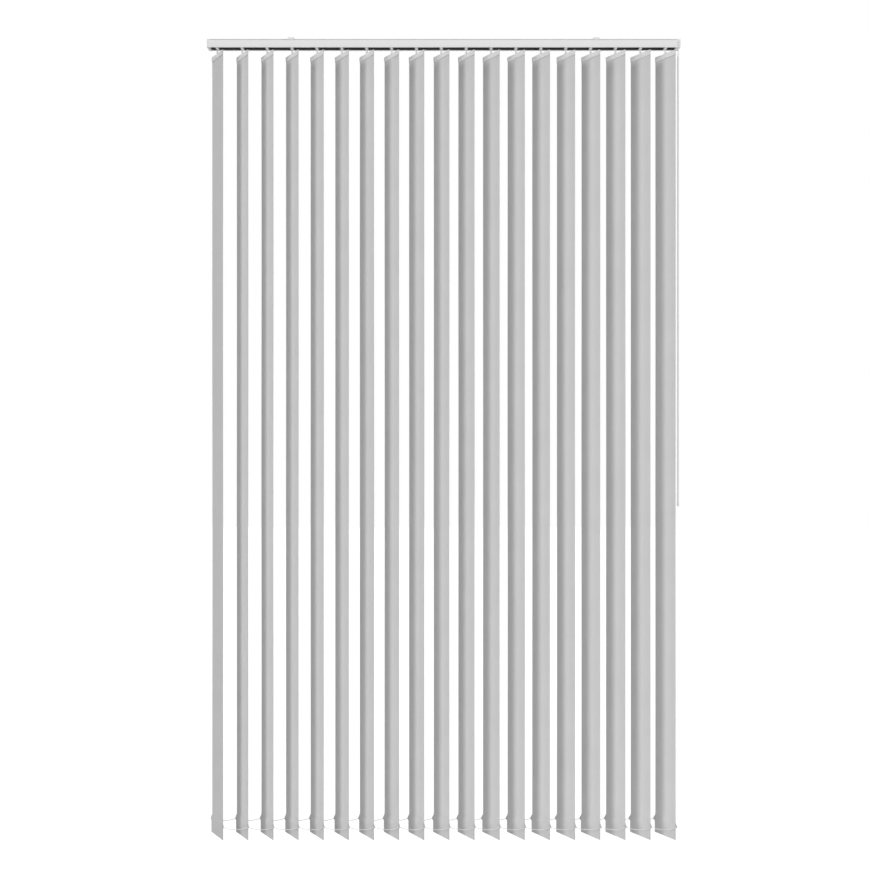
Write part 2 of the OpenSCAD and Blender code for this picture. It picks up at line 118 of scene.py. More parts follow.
# bottom weight with its chain clips
WEIGHT_T = 2.4 * MM
WEIGHT_W = 88 * MM
WEIGHT_N = HEM_INSIDE / 2 - POCKET_INSIDE / 2
WEIGHT_BEVEL = 0.2 * MM
POCKET_R = POCKET_INSIDE / 2 + CLOTH_T
WEIGHT_H = POCKET_H - WELD_H - SLANT_H - POCKET_R
CLIP_Z = 42 * MM
CLIP_FOOT = 6 * MM
CLIP_BITE = 4 * MM
CLIP_GAP = 0.2 * MM
CLIP_REACH = 7 * MM
CLIP_LIP = 2 * MM
BARB_H = 12 * MM
BARB_W = 1.2 * MM
CLIP_ROOT = SLAT_W / 2 + CLIP_GAP
TIP_R = 0.75 * MM
TIP_L = 3 * MM
TIP_U = SLAT_W / 2 + CLIP_REACH - TIP_R
TIP_SIDES = 12

# bottom chains
CHAIN_SAG = 7.5 * MM
BEAD_R = 1.35 * MM
BEAD_PITCH = 4.5 * MM
LINK_R = 0.9 * MM
BEAD_RINGS = 8
CHAIN_SIDES = 8
SPAN_STEPS = 200
ROUND_STEPS = 25

# places in the rail and carriers where painted shade begins and ends
RAIL_HALF_INSIDE = 17.65 * MM
RAIL_LIP_TOP = -29.65 * MM
RAIL_ROOF = -6.3 * MM
SHOE_TOP = -29.42 * MM

# cloth: tones, and the share of each over the plain weave
THREAD = 0.8 * MM
CLOTH_SHIFT = 0.2
SLUB_STRETCH = (2600, 60)
SLUB_SHARE = 0.6
CLOUD_SCALE = 9.0
CLOUD_DETAIL = 3.0
CLOTH_DARK = 0.64
CLOTH_PALE = 0.8
# painted shade in the weave's valleys between threads
VALLEY_SHADE_TONE = 0.42
VALLEY_SHADE_SHARE = 0.35
VALLEY_POWER = 3.0
# hem tone: partly the doubled cloth, partly painted light on the hem
HEM_DOUBLED_AND_LIT_TONE = 0.95
HEM_DOUBLED_AND_LIT_SHARE = 0.6
# painted shade: tone of the shadow line under the hem and of the shade down the pocket
PAINTED_SHADE_TONE = 0.34
HEM_SHADOW_SHARE = 0.35
HEM_SHADOW_LINE = (0.8 * MM, 2 * MM)
# painted shade down the pocket, at most this share
POCKET_SHADE_SHARE = 0.12
CLOTH_ROUGH = (0.95, 0.78)
CLOTH_BUMP = 0.35
CLOTH_BUMP_H = 0.1 * MM

# mouldings and coats
# painted shade: tone of the rail's hollow, near black for the shade inside it
RAIL_HOLLOW_SHADE_TONE = 0.13
WHITE_PART_TONE = 0.86
NOISE_DETAIL = 2.0
ROUGH_SPREAD = 0.06
GRAIN_DEPTH = 0.04
LINE_DEPTH = 0.02
SKIN_BUMP = 0.5
SKIN_BUMP_H = 1 * MM
BEVEL_STEPS = 2
BEVEL_FROM = math.radians(40)

# camera, in the photograph's frame of 870 x 870 pixels
FRAME_PX = 870
FOCAL_PX = 1100
CENTRE_PX = (443.67, 445.0)
CAMERA_AT = (0, -3.515, -1.2965)
SENSOR_MM = 36

# light: the room's strength is a level plus a slope along the direction, up to a cap
KEY_LEFT = math.radians(48)
KEY_UP = math.radians(17)
KEY_ANGLE = math.radians(24)
KEY_STRENGTH = 1.15
SKY_LEVEL = 1.18
SKY_SLOPE = (1.31, -0.07, 0)
SKY_CAP = 0.785
SKY_FLAT = (1.0, 1.0, 0.0)
FLOOR_Z = -3.8
FLOOR_HALF = 30.0
FLOOR_TONE = 0.25
FLOOR_ROUGH = 0.9
FLOOR_SHARE = 0.7
FLOOR_FLAT = (1.0, 1.0, 0.25)
FLOOR_GLOW = 0.9

AXES = {j["child"]: j["pos_m"] for j in frame["joints"] if j["child"].startswith("slat_")}
rng = np.random.default_rng(19)


# Camera

def make_camera():
    """Camera that looks straight along +Y, with the photograph's focal length and centre."""
    data = bpy.data.cameras.new("camera")
    data.sensor_width = SENSOR_MM
    data.lens = SENSOR_MM * FOCAL_PX / FRAME_PX
    data.shift_x = (FRAME_PX / 2 - CENTRE_PX[0]) / FRAME_PX
    data.shift_y = (CENTRE_PX[1] - FRAME_PX / 2) / FRAME_PX
    camera = bpy.data.objects.new("camera", data)
    camera.location = CAMERA_AT
    camera.rotation_euler = (math.pi / 2, 0, 0)
    bpy.context.scene.collection.objects.link(camera)
    bpy.context.scene.camera = camera


# Material tools

def add(tree, kind, inputs=(), **settings):
    """A new node with its settings, its plain inputs set and its linked inputs joined."""
    node = tree.nodes.new(kind)
    for name, value in settings.items():
        setattr(node, name, value)
    for socket, value in dict(inputs).items():
        if isinstance(value, bpy.types.NodeSocket):
            tree.links.new(value, node.inputs[socket])
        else:
            node.inputs[socket].default_value = value
    return node


def maths(tree, operation, *values):
    """Result of a Math node on one to three values or sockets."""
    return add(tree, "ShaderNodeMath", dict(enumerate(values)), operation=operation).outputs[0]


def multiply_ways(tree, vector, factors):
    """Vector with its three ways multiplied by three factors."""
    node = add(tree, "ShaderNodeVectorMath", {0: vector, 1: factors}, operation="MULTIPLY")
    return node.outputs[0]


def blend_colours(tree, share, first, second):
    """Colour between two greys or colours, by a share of the second from 0 to 1."""
    node = add(tree, "ShaderNodeMix", {"Factor": share, "A": first, "B": second}, data_type="RGBA")
    return node.outputs["Result"]


def grey(level):
    """Neutral colour of one level."""
    return (level, level, level, 1)


def group(name, inputs, outputs):
    """Empty shader node group with its input node and its output node.

    inputs gives the kind of each input socket by its name; the outputs are plain values.
    """
    tree = bpy.data.node_groups.new(name, "ShaderNodeTree")
    for socket, kind in inputs.items():
        tree.interface.new_socket(name=socket, in_out="INPUT", socket_type=f"NodeSocket{kind}")
    for socket in outputs:
        tree.interface.new_socket(name=socket, in_out="OUTPUT", socket_type="NodeSocketFloat")
    return tree, tree.nodes.new("NodeGroupInput"), tree.nodes.new("NodeGroupOutput")


def make_weave():
    """Plain weave: two rows of threads as sine ridges, one over the other in a checker.

    Height is the upper of the two ridges, Slub is noise stretched along the threads of each way,
    and Cloud is broad noise.
    """
    tree, source, result = group("plain_weave", {"Vector": "Vector", "Thread": "Float"},
                                 ["Height", "Slub", "Cloud"])
    place = source.outputs["Vector"]
    way = add(tree, "ShaderNodeSeparateXYZ", {0: place})
    turns = maths(tree, "DIVIDE", math.pi, source.outputs["Thread"])
    warp = maths(tree, "SINE", maths(tree, "MULTIPLY", way.outputs["X"], turns))
    weft = maths(tree, "SINE", maths(tree, "MULTIPLY", way.outputs["Y"], turns))
    over = maths(tree, "GREATER_THAN", maths(tree, "MULTIPLY", warp, weft), 0.0)
    high_warp = maths(tree, "ABSOLUTE", warp)
    high_weft = maths(tree, "ABSOLUTE", weft)
    upper = add(tree, "ShaderNodeMix", {"Factor": over, "A": high_warp, "B": high_weft})
    slubs = []
    for stretch in (SLUB_STRETCH, SLUB_STRETCH[::-1]):
        mapped = add(tree, "ShaderNodeMapping", {"Vector": place, "Scale": (*stretch, 1)})
        noise = add(tree, "ShaderNodeTexNoise",
                    {"Vector": mapped.outputs[0], "Scale": 1.0, "Detail": NOISE_DETAIL})
        slubs.append(noise.outputs["Fac"])
    slub = maths(tree, "MULTIPLY", maths(tree, "ADD", *slubs), 0.5)
    cloud = add(tree, "ShaderNodeTexNoise",
                {"Vector": place, "Scale": CLOUD_SCALE, "Detail": CLOUD_DETAIL})
    tree.links.new(upper.outputs[0], result.inputs["Height"])
    tree.links.new(slub, result.inputs["Slub"])
    tree.links.new(cloud.outputs["Fac"], result.inputs["Cloud"])
    return tree


def make_skin():
    """Skin of a moulded, coated or drawn surface: fine grain, drawn lines and broad patches.

    All three are noise of the given scales; the stretch makes the lines run one way.
    """
    tree, source, result = group(
        "made_skin",
        {"Vector": "Vector", "Grain": "Float", "Stretch": "Vector", "Patch": "Float"},
        ["Grain", "Lines", "Patch"],
    )
    place = source.outputs["Vector"]
    drawn = multiply_ways(tree, place, source.outputs["Stretch"])
    wanted = [("Grain", place, source.outputs["Grain"]),
              ("Lines", drawn, 1.0),
              ("Patch", place, source.outputs["Patch"])]
    for name, vector, scale in wanted:
        noise = add(tree, "ShaderNodeTexNoise",
                    {"Vector": vector, "Scale": scale, "Detail": NOISE_DETAIL})
        tree.links.new(noise.outputs["Fac"], result.inputs[name])
    return tree


WEAVE = make_weave()
SKIN = make_skin()


def new_material(name, **sockets):
    """Material with a Principled shader whose plain sockets are set."""
    material = bpy.data.materials.new(name)
    material.use_nodes = True
    shader = material.node_tree.nodes["Principled BSDF"]
    for socket, value in sockets.items():
        shader.inputs[socket.replace("_", " ")].default_value = value
    return material, material.node_tree, shader


def skin_material(name, colour, spread, rough, grain=1500.0, stretch=(30.0, 900.0, 900.0),
                  patch=12.0, other=None, **sockets):
    """Moulded, coated or drawn finish: the colour varies by spread and roughness by the patches.

    other, where given, is a function of the tree and the place that returns a mask and the colour
    there.
    """
    material, tree, shader = new_material(name, **sockets)
    place = add(tree, "ShaderNodeTexCoord").outputs["Object"]
    skin = add(tree, "ShaderNodeGroup",
               {"Vector": place, "Grain": grain, "Stretch": stretch, "Patch": patch},
               node_tree=SKIN).outputs
    tone = maths(tree, "MULTIPLY", maths(tree, "ADD", skin["Patch"], skin["Lines"]), 0.5)
    light = tuple(min(1.0, c * (1 + spread)) for c in colour)
    dark = tuple(c * (1 - spread) for c in colour)
    base = blend_colours(tree, tone, (*dark, 1), (*light, 1))
    if other:
        mask, shade = other(tree, place)
        base = blend_colours(tree, mask, base, shade)
    tree.links.new(base, shader.inputs["Base Color"])
    worn = add(tree, "ShaderNodeMapRange",
               {"Value": skin["Patch"], "To Min": rough - ROUGH_SPREAD,
                "To Max": rough + ROUGH_SPREAD})
    tree.links.new(worn.outputs[0], shader.inputs["Roughness"])
    height = maths(tree, "ADD", maths(tree, "MULTIPLY", skin["Grain"], GRAIN_DEPTH),
                   maths(tree, "MULTIPLY", skin["Lines"], LINE_DEPTH))
    bump = add(tree, "ShaderNodeBump",
               {"Height": height, "Strength": SKIN_BUMP, "Distance": SKIN_BUMP_H})
    tree.links.new(bump.outputs[0], shader.inputs["Normal"])
    return material


def painted_hollow_shade(tree, place):
    """Mask of the rail's hollow, where its coat is painted near black as shade: between its walls,
    above the lips and below the roof.
    """
    way = add(tree, "ShaderNodeSeparateXYZ", {0: place}).outputs
    between = maths(tree, "LESS_THAN", maths(tree, "ABSOLUTE", way["Y"]), RAIL_HALF_INSIDE)
    above = maths(tree, "GREATER_THAN", way["Z"], RAIL_LIP_TOP)
    below = maths(tree, "LESS_THAN", way["Z"], RAIL_ROOF)
    mask = maths(tree, "MULTIPLY", between, maths(tree, "MULTIPLY", above, below))
    return mask, grey(RAIL_HOLLOW_SHADE_TONE)


def white_below(level):
    """Function that masks all that lies below a level, in the tone of the small white parts."""
    def mask_below(tree, place):
        height = add(tree, "ShaderNodeSeparateXYZ", {0: place}).outputs["Z"]
        return maths(tree, "LESS_THAN", height, level), grey(WHITE_PART_TONE)
    return mask_below


def make_slat_cloth():
    """Stiffened plain weave.

    It is paler over the hem, partly for the doubled cloth over the white hanger and partly as
    painted light, has a painted shadow line under the hem, and has painted shade that darkens it a
    little down the pocket.
    """
    material, tree, shader = new_material("slat_cloth", Specular_IOR_Level=0.15)
    cloth = add(tree, "ShaderNodeUVMap", uv_map="cloth").outputs[0]
    weave = add(tree, "ShaderNodeGroup", {"Vector": cloth, "Thread": THREAD},
                node_tree=WEAVE).outputs
    tone = maths(tree, "ADD", maths(tree, "MULTIPLY", weave["Slub"], SLUB_SHARE),
                 maths(tree, "MULTIPLY", weave["Cloud"], 1 - SLUB_SHARE))
    base = blend_colours(tree, tone, grey(CLOTH_DARK), grey(CLOTH_PALE))
    # painted shade: darker in the valleys between threads
    valley_shade = maths(tree, "POWER", maths(tree, "SUBTRACT", 1.0, weave["Height"]), VALLEY_POWER)
    valley_shade = maths(tree, "MULTIPLY", valley_shade, VALLEY_SHADE_SHARE)
    base = blend_colours(tree, valley_shade, base, grey(VALLEY_SHADE_TONE))
    place = add(tree, "ShaderNodeTexCoord").outputs["Object"]
    level = add(tree, "ShaderNodeSeparateXYZ", {0: place}).outputs["Z"]
    # paler hem: partly doubled cloth over the hanger, partly painted light
    doubled_and_lit = maths(tree, "GREATER_THAN", level, HEM_FOOT)
    doubled_and_lit = maths(tree, "MULTIPLY", doubled_and_lit, HEM_DOUBLED_AND_LIT_SHARE)
    base = blend_colours(tree, doubled_and_lit, base, grey(HEM_DOUBLED_AND_LIT_TONE))
    # painted shadow: a dark line under the hem's lower edge, along its weld
    away = maths(tree, "ABSOLUTE", maths(tree, "SUBTRACT", level, HEM_FOOT))
    hem_shadow = add(tree, "ShaderNodeMapRange",
               {"Value": away, "From Min": HEM_SHADOW_LINE[0], "From Max": HEM_SHADOW_LINE[1],
                "To Min": HEM_SHADOW_SHARE, "To Max": 0.0})
    base = blend_colours(tree, hem_shadow.outputs[0], base, grey(PAINTED_SHADE_TONE))
    # painted shade: darker towards the bottom of the pocket, for weaker light from below
    shaded = add(tree, "ShaderNodeMapRange",
                 {"Value": level, "From Min": SLAT_BOT, "From Max": POCKET_TOP,
                  "To Min": POCKET_SHADE_SHARE, "To Max": 0.0})
    base = blend_colours(tree, shaded.outputs[0], base, grey(PAINTED_SHADE_TONE))
    tree.links.new(base, shader.inputs["Base Color"])
    rough = add(tree, "ShaderNodeMapRange",
                {"Value": weave["Height"], "To Min": CLOTH_ROUGH[0], "To Max": CLOTH_ROUGH[1]})
    tree.links.new(rough.outputs[0], shader.inputs["Roughness"])
    height = maths(tree, "ADD", weave["Height"], weave["Slub"])
    bump = add(tree, "ShaderNodeBump",
               {"Height": height, "Strength": CLOTH_BUMP, "Distance": CLOTH_BUMP_H})
    tree.links.new(bump.outputs[0], shader.inputs["Normal"])
    return material


SLAT_CLOTH = make_slat_cloth()
# the rail's coat has painted shade in its hollow
RAIL_COAT = skin_material("rail_coat", (0.84, 0.84, 0.84), 0.02, 0.38, grain=900.0,
                          stretch=(4.0, 700.0, 700.0), other=painted_hollow_shade, Specular_IOR_Level=0.4)
END_MOULD = skin_material("end_mould", (0.8, 0.8, 0.8), 0.025, 0.46, grain=2200.0, patch=40.0)
BRACKET_COAT = skin_material("bracket_coat", (0.82, 0.82, 0.82), 0.04, 0.42, patch=60.0)
# painted shade: the carriers and the rod's gear are near black above the shoe for the shade in the
# rail's hollow; the shoe below is in the tone of the small white parts
HOLLOW_SHADE_MOULD = skin_material("carrier_mould_painted_shade", (0.05, 0.05, 0.052), 0.2, 0.5, patch=80.0,
                              other=white_below(SHOE_TOP))
ROD_METAL = skin_material("rod_metal", (0.66, 0.67, 0.68), 0.05, 0.32,
                          stretch=(6.0, 1500.0, 1500.0), Metallic=1.0)
HOOK_MOULD = skin_material("hook_mould", (0.92, 0.92, 0.92), 0.02, 0.4, patch=70.0,
                           other=white_below(SLAT_TOP))
CLIP_MOULD = skin_material("clip_mould", (0.6, 0.6, 0.6), 0.04, 0.45, patch=70.0)
BEAD_WHITE = skin_material("bead_white", (0.8, 0.8, 0.8), 0.03, 0.3, patch=50.0)
WAND_WHITE = skin_material("wand_white", (0.94, 0.94, 0.94), 0.02, 0.3, patch=16.0,
                           stretch=(1200.0, 1200.0, 8.0), Coat_Weight=0.2)


# Shape tools

def grid_faces(rows, cols, wrap_cols=False):
    """Corner numbers of the quads on a grid of points; wrapped columns close on themselves."""
    row, col = np.meshgrid(np.arange(rows - 1), np.arange(cols - (not wrap_cols)), indexing="ij")
    row_on, col_on = row + 1, (col + 1) % cols
    corners = [row * cols + col, row * cols + col_on, row_on * cols + col_on, row_on * cols + col]
    return np.stack(corners, -1).reshape(-1, 4).tolist()


def tube_faces(rows, cols):
    """Faces of a closed tube: the quads between its rings and a lid on the first and the last."""
    last = (rows - 1) * cols
    lids = [list(range(cols))[::-1], list(range(last, last + cols))]
    return grid_faces(rows, cols, wrap_cols=True) + lids


def along_line(line):
    """Length run along a line of points, from 0 at its first point."""
    return np.concatenate([[0], np.cumsum(np.linalg.norm(np.diff(line, axis=0), axis=1))])


def join(*shells):
    """Several (points, faces) shells as one."""
    points, faces, count = [], [], 0
    for shell_points, shell_faces in shells:
        points.append(shell_points)
        faces += [[corner + count for corner in face] for face in shell_faces]
        count += len(shell_points)
    return np.concatenate(points), faces


def prism(outline, start, end, order):
    """Closed outline carried along a straight line from start to end.

    The outline's two ways and the line go to the axes in order.
    """
    outline = np.asarray(outline, float)
    count = len(outline)
    ends = [np.column_stack([outline, np.full(count, level)]) for level in (start, end)]
    return np.concatenate(ends)[:, np.argsort(order)], tube_faces(2, count)


def turned(radii, levels, sides=24, u=0.0, n=0.0):
    """Surface of revolution about an upright line: circles of the radii at the levels."""
    angle = np.arange(sides) * 2 * np.pi / sides
    radii, levels = np.asarray(radii)[:, None], np.asarray(levels)[:, None]
    ring = [u + radii * np.cos(angle), n + radii * np.sin(angle), levels + 0 * angle]
    return np.stack(ring, -1).reshape(-1, 3), tube_faces(len(radii), sides)


def set_at_slat(points, slat):
    """Points (u, n, z) turned by the slat's rest angle about its stem and put at its place."""
    u, n, z = points.T
    x0, y0, _ = AXES[slat]
    c, s = math.cos(SLAT_TURN), math.sin(SLAT_TURN)
    return np.column_stack([x0 + u * c - n * s, y0 + u * s + n * c, z])


def make_piece(name, points, faces, material, sharp=35, bevel=0.0):
    """Mesh object at the origin with outward faces, smooth but for edges over sharp degrees."""
    mesh = bpy.data.meshes.new(name)
    mesh.from_pydata(points.tolist(), [], faces)
    shell = bmesh.new()
    shell.from_mesh(mesh)
    bmesh.ops.recalc_face_normals(shell, faces=shell.faces)
    shell.to_mesh(mesh)
    shell.free()
    mesh.shade_smooth()
    mesh.set_sharp_from_angle(angle=math.radians(sharp))
    mesh.materials.append(material)
    piece = bpy.data.objects.new(name, mesh)
    bpy.context.scene.collection.objects.link(piece)
    if bevel:
        soft = piece.modifiers.new("soft_edges", "BEVEL")
        soft.width = bevel
        soft.segments = BEVEL_STEPS
        soft.limit_method = "ANGLE"
        soft.angle_limit = BEVEL_FROM
    return piece


# Bottom chains

def chain_line(start):
    """Chain's centreline from the first clip tip: a parabola between tips, rounded over each tip.

    The rounding is a running mean of the height over a few millimetres. The points stand at equal
    runs along the line.
    """
    spans = SLAT_COUNT - 1
    along = np.linspace(0, spans * SLAT_PITCH, spans * SPAN_STEPS + 1)
    share = along / SLAT_PITCH % 1
    drop = -4 * CHAIN_SAG * share * (1 - share)
    window = np.hanning(ROUND_STEPS)[1:-1]
    half = len(window) // 2
    drop = np.convolve(np.pad(drop, half, mode="edge"), window / window.sum(), "valid")
    line = np.column_stack([start[0] + along, np.full_like(along, start[1]), start[2] + drop])
    run = along_line(line)
    rings = np.linspace(0, run[-1], round(run[-1] / BEAD_PITCH) * BEAD_RINGS + 1)
    centres = np.column_stack([np.interp(rings, run, way) for way in line.T])
    return centres, rings


def make_chain(name, start):
    """Ball chain: rings round the centreline whose radius swells to a ball at every bead pitch."""
    centres, run = chain_line(start)
    pitch = run[-1] / round(run[-1] / BEAD_PITCH)
    from_ball = (run / pitch % 1 - 0.5) * pitch
    radius = np.sqrt(np.maximum(BEAD_R ** 2 - from_ball ** 2, LINK_R ** 2))
    tangent = np.gradient(centres, axis=0)
    tangent /= np.linalg.norm(tangent, axis=1)[:, None]
    across = np.array([0.0, 1.0, 0.0])
    up = np.cross(tangent, across)[:, None, :]
    angle = (np.arange(CHAIN_SIDES) * 2 * np.pi / CHAIN_SIDES)[None, :, None]
    offset = np.cos(angle) * across + np.sin(angle) * up
    points = (centres[:, None, :] + radius[:, None, None] * offset).reshape(-1, 3)
    faces = tube_faces(len(centres), CHAIN_SIDES)
    chain = make_piece(f"{name}_beads", points, faces, BEAD_WHITE, sharp=80)
    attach(chain, name)
    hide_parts(name)
    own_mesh(chain)


make_camera()
for chain_name, side in (("front_chain", 1), ("back_chain", -1)):
    tip = set_at_slat(np.array([[side * TIP_U, WEIGHT_N, SLAT_BOT + CLIP_Z]]), "slat_01")[0]
    make_chain(chain_name, tuple(float(way) for way in tip))


# Slats

def ease(share):
    """Smooth step from 0 to 1."""
    return share * share * (3 - 2 * share)


def fold_line(end_z, height, inside, slant_h, up):
    """Middle of the cloth, as (n, z), from a hem's free edge to where its fold meets the sheet.

    The free edge lies welded on the sheet, an eased slant lifts it to the front layer, and a half
    circle turns it over. A slant longer than SLANT_H reaches past the height of the plate inside;
    up is 1 for the top hem and -1 for the bottom pocket.
    """
    radius = inside / 2 + CLOTH_T / 2
    centre_n = SHEET_N - radius
    centre_z = end_z - up * (inside / 2 + CLOTH_T)
    weld_n = SHEET_N - CLOTH_T
    foot_z = end_z - up * (height - SLANT_H + slant_h)
    flap = np.linspace(0, 1, FLAP_POINTS)[:-1]
    slant = np.linspace(0, 1, SLANT_POINTS)
    slant_z = foot_z + up * (WELD_H + slant_h * slant)
    front_z = np.linspace(slant_z[-1], centre_z, FRONT_POINTS)[1:-1]
    arc = np.linspace(np.pi, 0, ARC_POINTS)
    return np.concatenate([
        np.column_stack([np.full(len(flap), weld_n), foot_z + up * WELD_H * flap]),
        np.column_stack([weld_n + (centre_n - radius - weld_n) * ease(slant), slant_z]),
        np.column_stack([np.full(len(front_z), centre_n - radius), front_z]),
        np.column_stack([centre_n + radius * np.cos(arc), centre_z + up * radius * np.sin(arc)]),
    ])


def cloth_line():
    """Middle of a slat's cloth: from the hem's free edge over the top, down, round the bottom."""
    hem = fold_line(SLAT_TOP, HEM_H, HEM_INSIDE, SLANT_H, 1)
    pocket = fold_line(SLAT_BOT, POCKET_H, POCKET_INSIDE, POCKET_SLANT_H, -1)[::-1]
    levels = np.linspace(SLAT_TOP - NOTCH_H, pocket[0, 1], SHEET_POINTS)[:-1]
    sheet = np.column_stack([np.full(len(levels), SHEET_N), levels])
    return np.concatenate([hem, sheet, pocket])


def cloth_shell(line, widths, keep, bow):
    """Closed shell of cloth: the line carried across the widths, half a thickness to each side.

    keep says which cells of the grid are cloth; a wall joins the two sides along every free edge.
    bow pushes the points through the slat, by width and level. Returned with the shell are each
    point's place on the flat cloth and the length of the line.
    """
    step = np.gradient(line, axis=0)
    step /= np.linalg.norm(step, axis=1)[:, None]
    normal = np.column_stack([-step[:, 1], step[:, 0]])
    rows, cols = len(line), len(widths)
    u = np.broadcast_to(widths, (rows, cols))
    lift = bow(u, np.broadcast_to(line[:, 1:], (rows, cols)))
    sides = []
    for way in (1, -1):
        n, z = (line + way * normal * CLOTH_T / 2).T
        sides.append(np.stack([u, n[:, None] + lift, z[:, None] + 0 * u], -1).reshape(-1, 3))
    cells = np.array(grid_faces(rows, cols))[keep.ravel()]
    total = rows * cols
    framed = np.pad(keep, 1)
    walls = []
    row, col = np.nonzero(framed[1:-1, 1:] != framed[1:-1, :-1])
    walls.append(np.stack([row * cols + col, (row + 1) * cols + col], -1))
    row, col = np.nonzero(framed[1:, 1:-1] != framed[:-1, 1:-1])
    walls.append(np.stack([row * cols + col, row * cols + col + 1], -1))
    edge = np.concatenate(walls)
    strips = np.column_stack([edge, edge[:, ::-1] + total])
    faces = np.concatenate([cells, cells[:, ::-1] + total, strips])
    used, renumbered = np.unique(faces, return_inverse=True)
    run = along_line(line)
    cut = np.stack([u, np.broadcast_to(run[:, None], (rows, cols))], -1).reshape(-1, 2)
    points, cut = np.concatenate(sides)[used], np.concatenate([cut, cut])[used]
    return points, renumbered.reshape(-1, 4).tolist(), cut, float(run[-1])


def slat_widths():
    """Places across a slat where its cloth has points, with the notch's two edges among them."""
    inner = np.linspace(NOTCH_W / 2, SLAT_W / 2 - EDGE_STRIP, HALF_POINTS)
    half = np.concatenate([inner, [SLAT_W / 2]])
    return np.concatenate([-half[::-1], half])


def make_cloth(number):
    """One slat's cloth, with a bow, ripple and twist of its own between hem and pocket.

    They are held to nothing at both ends by a half sine down the slat. The bow is a parabola across
    the width, the ripple a sine down the slat, and the twist a straight line across the width.
    """
    slat = f"slat_{number:02d}"
    line, widths = cloth_line(), slat_widths()
    mid_z, mid_u = (line[1:, 1] + line[:-1, 1]) / 2, (widths[1:] + widths[:-1]) / 2
    keep = ~((mid_z[:, None] > SLAT_TOP - NOTCH_H) & (abs(mid_u[None, :]) < NOTCH_W / 2))
    depth, ripple, phase, twist = rng.uniform(BOW_LEAST, BOW_MOST)

    def bow(u, z):
        share = np.clip((HEM_FOOT - z) / (HEM_FOOT - SLAT_BOT - POCKET_H), 0, 1)
        hold = np.sin(np.pi * share)
        across = 1 - (2 * u / SLAT_W) ** 2
        wave = np.sin(RIPPLE_HALVES * np.pi * share + phase)
        return MM * hold * (depth * across + ripple * wave + twist * 2 * u / SLAT_W)

    points, faces, cut, length = cloth_shell(line, widths, keep, bow)
    points = set_at_slat(points, slat)
    cloth = make_piece(f"cloth_{number:02d}", points, faces, SLAT_CLOTH, sharp=50)
    layer = cloth.data.uv_layers.new(name="cloth")
    corners = np.zeros(len(cloth.data.loops), np.int32)
    cloth.data.loops.foreach_get("vertex_index", corners)
    shifted = cut[corners] + (CLOTH_SHIFT * number, 0)
    layer.data.foreach_set("uv", shifted.astype(np.float32).ravel())
    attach(cloth, slat)
    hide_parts(slat)
    return cloth, length


def stem_gear():
    """Gear on a stem: a ring whose radius steps between root and tip, carried up by a thickness."""
    tooth = np.array([[-TOOTH_ROOT, GEAR_R - TOOTH_H], [-TOOTH_TIP, GEAR_R],
                      [TOOTH_TIP, GEAR_R], [TOOTH_ROOT, GEAR_R - TOOTH_H]])
    angle = ((np.arange(GEAR_TEETH)[:, None] + tooth[:, 0]) * 2 * np.pi / GEAR_TEETH).ravel()
    radius = np.tile(tooth[:, 1], GEAR_TEETH)
    outline = np.column_stack([radius * np.cos(angle), radius * np.sin(angle)])
    return prism(outline, GEAR_Z, GEAR_Z + GEAR_T, (0, 1, 2))


def make_hook(number):
    """Stem with its gear, the forked hook and the hanger plate in the hem, as white mouldings.

    Fork and plate are outlines carried along a straight line; the stem is turned about its axis,
    with a collar that tapers off above the hook.
    """
    slat = f"slat_{number:02d}"
    top, foot = SLAT_TOP + HOOK_NECK, SLAT_TOP - HOOK_H
    crotch = SLAT_TOP - HEM_INSIDE / 2 - CLOTH_T
    fork = [[-HOOK_N, foot], [-JAW_N, foot], [-JAW_N, crotch], [JAW_N, crotch], [JAW_N, foot],
            [HOOK_N, foot], [HOOK_N, top], [-HOOK_N, top]]
    stem_radii = [STEM_R + COLLAR_W, STEM_R + COLLAR_W, STEM_R, STEM_R]
    stem_levels = [top - COLLAR_SUNK, top + COLLAR_H, top + COLLAR_W + COLLAR_H, GEAR_Z]
    plate_bot = crotch - HANGER_H
    plate = [[-HANGER_W / 2, plate_bot], [HANGER_W / 2, plate_bot], [HANGER_W / 2, crotch],
             [-HANGER_W / 2, crotch]]
    points, faces = join(
        prism(fork, -HOOK_W / 2, HOOK_W / 2, (1, 2, 0)),
        turned(stem_radii, stem_levels),
        stem_gear(),
        prism(plate, -HANGER_T / 2, HANGER_T / 2, (0, 2, 1)),
    )
    points = set_at_slat(points, slat)
    hook = make_piece(f"hook_{number:02d}", points, faces, HOOK_MOULD, bevel=HOOK_BEVEL)
    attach(hook, slat)
    return hook


def clip_outline():
    """Outline of a barbed chain clip as (u, z), from inside the weight out past the chain."""
    start, foot_z = WEIGHT_W / 2 - CLIP_BITE, CLIP_Z - CLIP_FOOT
    barb_z, head_z = CLIP_Z + BARB_H, POCKET_R + WEIGHT_H - CLIP_GAP
    nose = TIP_U + CLIP_LIP
    return np.array([
        [start, foot_z], [CLIP_ROOT, foot_z],
        [nose, CLIP_Z - TIP_L / 2], [nose, CLIP_Z + TIP_L / 2],
        [CLIP_ROOT + BARB_W, barb_z], [CLIP_ROOT, barb_z],
        [CLIP_ROOT, head_z], [start, head_z],
    ]) + (0, SLAT_BOT)


